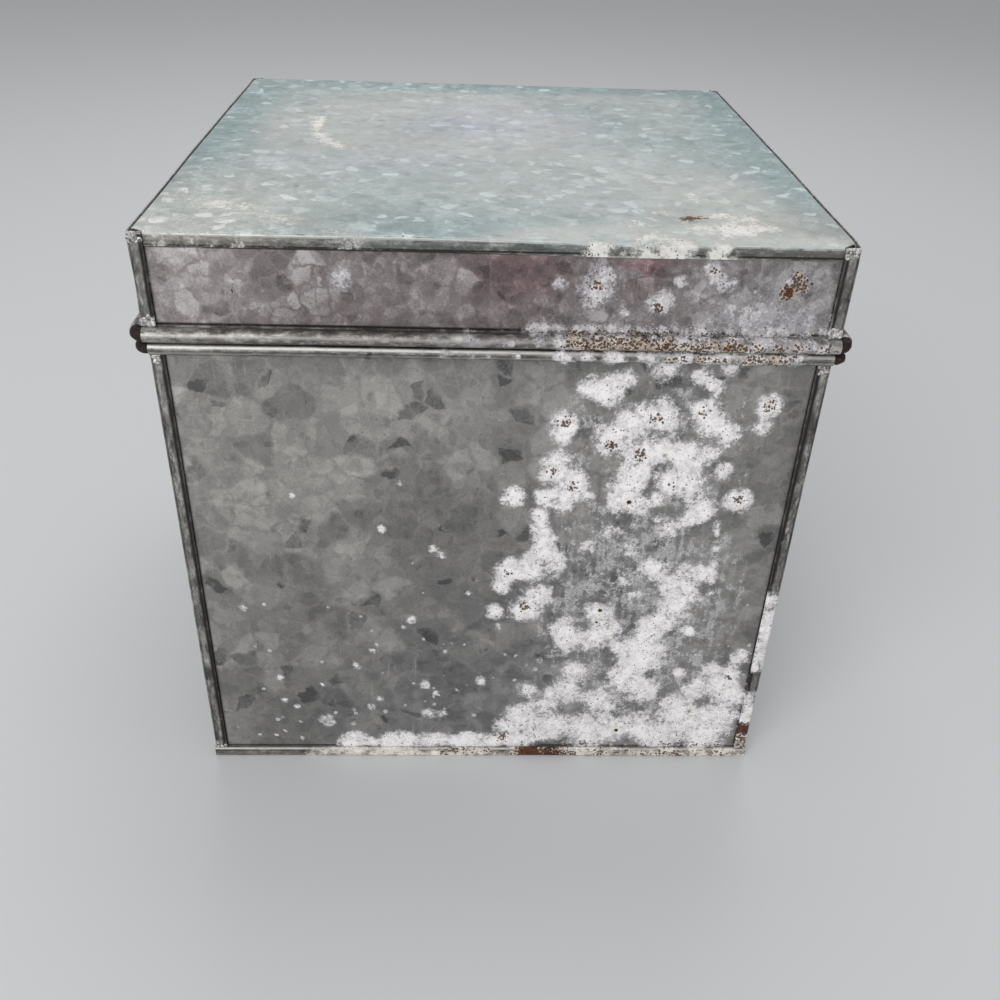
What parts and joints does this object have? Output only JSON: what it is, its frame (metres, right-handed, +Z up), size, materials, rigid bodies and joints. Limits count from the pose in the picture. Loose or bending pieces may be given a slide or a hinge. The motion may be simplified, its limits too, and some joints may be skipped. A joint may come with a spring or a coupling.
{
  "type": "milk delivery box",
  "caption": "Insulated galvanised sheet-steel porch box for milk bottles, with folded corner seams, wired rims and a lid hinged at the back.",
  "frame": {"origin": "centre of the flat underside of the body, on the surface that the box stands on", "axes": "+Z up, -Y towards the front that opens, +X to the right as seen from the front; the hinge rod lies along X at the back"},
  "size_m": [0.32, 0.314, 0.308],
  "materials": {
    "weathered_galvanised_sheet": "matte",
    "galvanised_liner_sheet": "satin",
    "iron_wire": "matte",
    "insulating_board": "matte",
    "solder": "satin"
  },
  "bodies": {
    "body": {"front_panel": "weathered_galvanised_sheet", "back_panel": "weathered_galvanised_sheet", "left_side_panel": "weathered_galvanised_sheet", "right_side_panel": "weathered_galvanised_sheet", "bottom_pan": "weathered_galvanised_sheet", "front_rim_wire": "iron_wire", "left_rim_wire": "iron_wire", "right_rim_wire": "iron_wire", "hinge_rod": "iron_wire", "inner_liner": "galvanised_liner_sheet", "liner_floor": "galvanised_liner_sheet", "throat_frame": "galvanised_liner_sheet", "insulation_front": "insulating_board", "insulation_back": "insulating_board", "insulation_left": "insulating_board", "insulation_right": "insulating_board", "insulation_floor": "insulating_board", "body_solder_tacks": "solder"},
    "lid": {"lid_top": "weathered_galvanised_sheet", "lid_front_skirt": "weathered_galvanised_sheet", "lid_back_skirt": "weathered_galvanised_sheet", "lid_left_skirt": "weathered_galvanised_sheet", "lid_right_skirt": "weathered_galvanised_sheet", "lid_front_rim_wire": "iron_wire", "lid_left_rim_wire": "iron_wire", "lid_right_rim_wire": "iron_wire", "lid_insulation": "insulating_board", "lid_liner": "galvanised_liner_sheet", "lid_solder_tacks": "solder"}
  },
  "joints": [
    {"name": "lid_hinge", "type": "hinge", "parent": "body", "child": "lid", "pos_m": [0, 0.153, 0.25945], "axis": [-1, 0, 0], "range_deg": [0, 180]}
  ]
}
